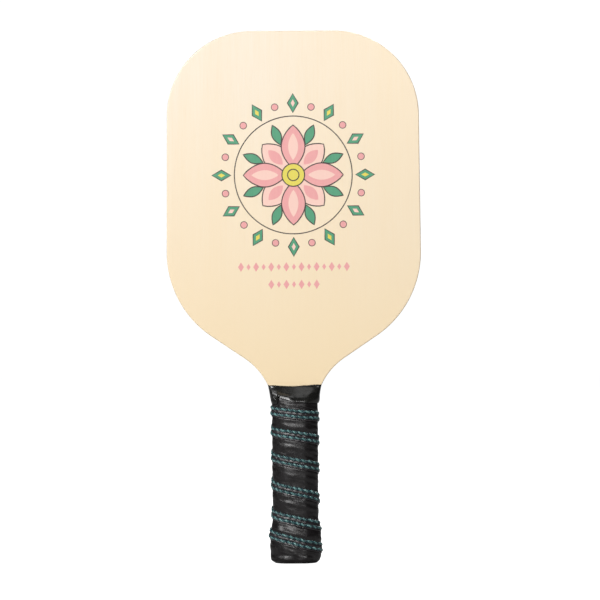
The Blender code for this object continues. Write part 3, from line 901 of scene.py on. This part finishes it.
def new_material(name, **settings):
    material = bpy.data.materials.new(name)
    material.use_nodes = True
    shader = material.node_tree.nodes["Principled BSDF"]
    for socket, value in settings.items():
        shader.inputs[socket.replace("_", " ")].default_value = value
    return material, material.node_tree, shader


def add_node(tree, kind, inputs=None, **settings):
    made = tree.nodes.new(kind)
    for key, value in settings.items():
        setattr(made, key, value)
    for key, value in (inputs or {}).items():
        if isinstance(value, bpy.types.NodeSocket):
            tree.links.new(value, made.inputs[key])
        else:
            made.inputs[key].default_value = value
    return made


def place_coords(tree, scale=(1.0, 1.0, 1.0)):
    coords = add_node(tree, "ShaderNodeTexCoord").outputs["Object"]
    return add_node(tree, "ShaderNodeMapping", {"Vector": coords, "Scale": scale}).outputs[0]


def noise(tree, vector, scale, detail, roughness):
    return add_node(tree, "ShaderNodeTexNoise", {
        "Vector": vector, "Scale": scale, "Detail": detail, "Roughness": roughness,
    }).outputs[0]


def ramp(tree, factor, low, high, bottom=0.0, top=1.0):
    """Factor carried from low..high to bottom..top, and held there."""
    return add_node(tree, "ShaderNodeMapRange", {
        "Value": factor, "From Min": low, "From Max": high, "To Min": bottom, "To Max": top,
    }).outputs[0]


def mix(tree, factor, first, second):
    """A colour carried from the first to the second by a factor from 0 to 1."""
    inputs = {0: factor, 6: first, 7: second}
    return add_node(tree, "ShaderNodeMix", inputs, data_type="RGBA").outputs[2]


def calculate(tree, operation, first, second):
    return add_node(tree, "ShaderNodeMath", {0: first, 1: second}, operation=operation).outputs[0]


def plus(tree, first, second):
    return calculate(tree, "ADD", first, second)


def feed(tree, shader, **values):
    """Links each value to the shader's input of that name, with underscores for its spaces."""
    for socket, value in values.items():
        tree.links.new(value, shader.inputs[socket.replace("_", " ")])


def bump(tree, shader, height, distance, strength):
    inputs = {"Height": height, "Distance": distance, "Strength": strength}
    feed(tree, shader, Normal=add_node(tree, "ShaderNodeBump", inputs).outputs[0])


def wood_material(name, pale, deep, edge, grain=(1.0, 1.0, 0.035), roughness=0.42, coat=0.0, warm=None):
    """Basswood: long faint streaks, a slow drift of tone, short pores, and a deeper tone on edges.

    The last argument is a tone of painted shade: it comes in down the blade and towards its top right,
    away from the light at the upper left.
    """
    material, tree, shader = new_material(
        name, Coat_Weight=coat, Coat_Roughness=0.22, Specular_IOR_Level=0.35)
    along = place_coords(tree, grain)
    streaks = noise(tree, along, 620.0, 4.0, 0.62)
    drift = noise(tree, along, 46.0, 2.0, 0.5)
    pores = noise(tree, along, 2600.0, 2.0, 0.6)
    drifting = ramp(tree, drift, 0.3, 0.7, 0.0, 0.45)
    blend = plus(tree, ramp(tree, streaks, 0.30, 0.70, 0.0, 0.55), drifting)
    tone = mix(tree, blend, pale, deep)
    tone = mix(tree, ramp(tree, pores, 0.60, 0.74, 0.0, 0.10), tone, edge)
    normal = add_node(tree, "ShaderNodeTexCoord").outputs["Normal"]
    facing = add_node(tree, "ShaderNodeSeparateXYZ", {"Vector": normal}).outputs["Y"]
    # Painted shade: the wood deepens to that tone down the blade and towards its top right, where the
    # light from the upper left falls off.
    if warm:
        place = add_node(tree, "ShaderNodeSeparateXYZ", {"Vector": place_coords(tree)}).outputs
        downwards = ramp(tree, place["Z"], 0.36, 0.12)
        sideways = ramp(tree, place["X"], -0.03, 0.08, 0.0, 0.45)
        top_right = calculate(tree, "MULTIPLY", sideways, ramp(tree, place["Z"], 0.25, 0.36))
        tone = mix(tree, plus(tree, downwards, top_right), tone, warm)
    rim = ramp(tree, calculate(tree, "ABSOLUTE", facing, 0.0), 0.10, 0.70, 0.75, 0.0)
    gloss = ramp(tree, streaks, 0.2, 0.8, roughness - 0.06, roughness + 0.08)
    feed(tree, shader, Base_Color=mix(tree, rim, tone, edge), Roughness=gloss)
    bump(tree, shader, plus(tree, streaks, calculate(tree, "MULTIPLY", pores, 0.5)), 0.00003, 0.6)
    return material


def leather_material(name, dark, light, roughness, grain_depth):
    """Polyurethane skin or vinyl film: fine pebbled grain, faint mottling and uneven gloss."""
    material, tree, shader = new_material(name, Specular_IOR_Level=0.5)
    vector = place_coords(tree)
    mottle = noise(tree, vector, 170.0, 3.0, 0.6)
    fine = noise(tree, vector, 1500.0, 3.0, 0.6)
    cells = {"Vector": vector, "Scale": 1700.0, "Randomness": 0.9}
    pebbles = add_node(tree, "ShaderNodeTexVoronoi", cells).outputs[0]
    tone = mix(tree, ramp(tree, mottle, 0.3, 0.7), dark, light)
    speckle = ramp(tree, fine, 0.3, 0.7, 0.0, 0.07)
    uneven = plus(tree, ramp(tree, mottle, 0.3, 0.7, -0.06, 0.07), speckle)
    feed(tree, shader, Base_Color=tone, Roughness=plus(tree, uneven, roughness))
    bump(tree, shader, plus(tree, pebbles, calculate(tree, "MULTIPLY", fine, 0.6)), grain_depth, 0.8)
    return material


def thread_material(name, deep, bright, roughness):
    """Waxed thread or cord: fine fibres and uneven dye."""
    material, tree, shader = new_material(name, Sheen_Weight=0.15, Sheen_Roughness=0.4)
    vector = place_coords(tree)
    fibres = noise(tree, vector, 2600.0, 3.0, 0.7)
    patches = noise(tree, vector, 240.0, 1.0, 0.5)
    uneven = ramp(tree, patches, 0.35, 0.65, 0.0, 0.6)
    blend = plus(tree, ramp(tree, fibres, 0.32, 0.68, 0.0, 0.4), uneven)
    gloss = ramp(tree, fibres, 0.3, 0.7, roughness - 0.1, roughness + 0.1)
    feed(tree, shader, Base_Color=mix(tree, blend, deep, bright), Roughness=gloss)
    bump(tree, shader, fibres, 0.00006, 0.8)
    return material


def plain_material(name, dark, light, roughness, depth, scale=900.0, metallic=0.0):
    """Moulded, foamed or drawn surfaces: mottled colour, uneven gloss and a fine texture."""
    material, tree, shader = new_material(name, Metallic=metallic)
    vector = place_coords(tree)
    grain = noise(tree, vector, scale, 4.0, 0.6)
    broad = noise(tree, vector, scale / 9, 2.0, 0.5)
    tone = mix(tree, ramp(tree, broad, 0.3, 0.7), dark, light)
    gloss = ramp(tree, grain, 0.25, 0.75, roughness - 0.07, roughness + 0.09)
    feed(tree, shader, Base_Color=tone, Roughness=gloss)
    bump(tree, shader, grain, depth, 0.7)
    return material


def ink_material(name, tone, worn):
    """Screen-printed ink, thinner along the grain of the wood beneath."""
    material, tree, shader = new_material(name, Coat_Weight=0.25, Coat_Roughness=0.25)
    streaks = noise(tree, place_coords(tree, (1.0, 1.0, 0.05)), 620.0, 3.0, 0.6)
    speckle = noise(tree, place_coords(tree), 2400.0, 2.0, 0.6)
    speckled = ramp(tree, speckle, 0.5, 0.8, 0.0, 0.5)
    blend = plus(tree, ramp(tree, streaks, 0.35, 0.75, 0.0, 0.5), speckled)
    gloss = ramp(tree, speckle, 0.3, 0.7, 0.42, 0.55)
    feed(tree, shader, Base_Color=mix(tree, blend, tone, worn), Roughness=gloss)
    bump(tree, shader, speckle, 0.00002, 0.5)
    return material


# -------- stage

def add_camera():
    data = bpy.data.cameras.new("view")
    data.lens = CAMERA_LENS
    data.sensor_width = 36.0
    data.clip_start = 0.05
    data.clip_end = 40.0
    camera = add_object("view", data)
    camera.location = CAMERA_PLACE
    camera.rotation_euler = (math.pi / 2, CAMERA_ROLL, 0.0)
    bpy.context.scene.camera = camera


def add_softbox(name, place, aim_height, width, power):
    data = bpy.data.lights.new(name, "AREA")
    data.shape = "SQUARE"
    data.size = width
    data.energy = power
    light = add_object(name, data)
    light.location = place
    towards = Vector((0.0, 0.0, aim_height)) - Vector(place)
    light.rotation_euler = towards.to_track_quat("-Z", "Y").to_euler()


def add_world():
    """A pale room: white to look at, and dimmer as a light so that dark edges stay dark."""
    world = bpy.data.worlds.new("room")
    bpy.context.scene.world = world
    world.use_nodes = True
    tree = world.node_tree
    tree.nodes.clear()
    seen = add_node(tree, "ShaderNodeBackground", {"Color": WHITE, "Strength": ROOM_SEEN}).outputs[0]
    lit = add_node(tree, "ShaderNodeBackground", {"Color": WHITE, "Strength": ROOM_LIGHT}).outputs[0]
    to_camera = add_node(tree, "ShaderNodeLightPath").outputs["Is Camera Ray"]
    both = add_node(tree, "ShaderNodeMixShader", {0: to_camera, 1: lit, 2: seen})
    add_node(tree, "ShaderNodeOutputWorld", {"Surface": both.outputs[0]})


def add_floor():
    """A floor that is white to look at and grey as a surface that light bounces from."""
    mesh = bpy.data.meshes.new("floor")
    corners = np.array([(-1, -1, 0), (1, -1, 0), (1, 1, 0), (-1, 1, 0)]) * FLOOR_REACH
    mesh.from_pydata(corners.tolist(), [], [(0, 1, 2, 3)])
    material, tree, shader = new_material(
        "pale_floor", Roughness=0.9, Base_Color=(0.3, 0.3, 0.3, 1.0), Emission_Color=WHITE)
    feed(tree, shader, Emission_Strength=add_node(tree, "ShaderNodeLightPath").outputs["Is Camera Ray"])
    mesh.materials.append(material)
    floor = add_object("floor", mesh)
    floor.location = (0.0, 0.0, cad_low[2] - FLOOR_GAP)


# -------- paddle

def build():
    add_camera()
    add_world()
    add_floor()
    for softbox in SOFTBOXES:
        add_softbox(*softbox)
    bpy.context.scene.view_settings.view_transform = "Standard"

    # The face's last tone is painted shade, deepening the face away from the light at the upper left.
    face_wood = wood_material(
        "coated_basswood", colour(247, 233, 213), colour(245, 227, 200), colour(220, 178, 124),
        coat=0.55, warm=colour(250, 226, 184))
    long_wood = wood_material(
        "long_grain_ply", colour(236, 206, 160), colour(226, 190, 140), colour(222, 184, 132),
        roughness=0.6)
    cross_wood = wood_material(
        "cross_grain_ply", colour(206, 166, 114), colour(188, 146, 96), colour(196, 152, 100),
        grain=(0.04, 1.0, 1.0), roughness=0.7)
    handle_wood = wood_material(
        "handle_hardwood", colour(205, 168, 120), colour(188, 148, 100), colour(180, 140, 94),
        roughness=0.6)
    for index, name in enumerate(PLY_NAMES):
        outermost = index in (0, len(PLY_NAMES) - 1)
        wood = face_wood if outermost else (cross_wood if index % 2 else long_wood)
        ply = add_ply("blade_" + name, index, [wood])
        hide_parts(name)

    for word, side in (("front", -1), ("back", 1)):
        scale = add_scale("handle_scale_" + word, side, [handle_wood])
        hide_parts(word + "_handle_scale")

    plastic = plain_material(
        "black_moulded_plastic", colour(28, 28, 29), colour(38, 37, 37), 0.5, 0.00004)
    cap = add_cap([plastic])
    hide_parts("butt_cap")

    steel = plain_material(
        "bright_steel", colour(190, 190, 192), colour(210, 210, 212), 0.28, 0.00001, metallic=1.0)
    for word in ("front", "back"):
        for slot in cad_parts["butt_cap_brad_" + word].material_slots:
            slot.material = steel

    foam = plain_material(
        "black_foam", colour(46, 46, 48), colour(60, 60, 62), 0.9, 0.0001, scale=1600.0)
    cushion = add_cushion([foam])
    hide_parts("grip_cushion")

    cotton = thread_material("grey_cord", colour(110, 110, 108), colour(150, 150, 146), 0.8)
    cord = add_cord([cotton])
    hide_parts("grip_rib_cord")

    leather = leather_material(
        "black_grip_skin", colour(13, 10, 11), colour(21, 17, 19), 0.30, 0.000035)
    # Painted highlight: the tight leather on the rib and lip is paler than the rest of the skin; its
    # lower roughness is real gloss.
    stretched = leather_material(
        "stretched_highlit_grip_skin", colour(27, 23, 26), colour(44, 39, 43), 0.28, 0.000025)
    strip = add_strip([leather, stretched])
    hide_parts("grip_skin")

    bright = thread_material("teal_thread", colour(30, 70, 72), colour(112, 154, 152), 0.25)
    dark = thread_material("deep_teal_thread", colour(8, 38, 46), colour(22, 66, 74), 0.30)
    stitch_rows = (("upper", STITCH_OFFSET, 0.88, 0.0), ("lower", -STITCH_OFFSET, 0.82, 0.40))
    for word, offset, first_turn, phase in stitch_rows:
        row = add_stitch_row("grip_stitches_" + word, offset, first_turn, phase, [bright, dark])
        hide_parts("grip_stitch_" + word)

    vinyl = leather_material("black_tape_film", colour(18, 18, 16), colour(26, 26, 24), 0.21, 0.000006)
    tape = add_tape([vinyl])
    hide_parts("finishing_tape")

    for ink, (points, faces) in draw_badge().inks.items():
        tone, worn = INK_COLOURS[ink]
        material = ink_material(ink + "_ink", colour(*tone), colour(*worn))
        piece = add_piece("print_" + ink, points, faces, [material], smooth=False)


build()
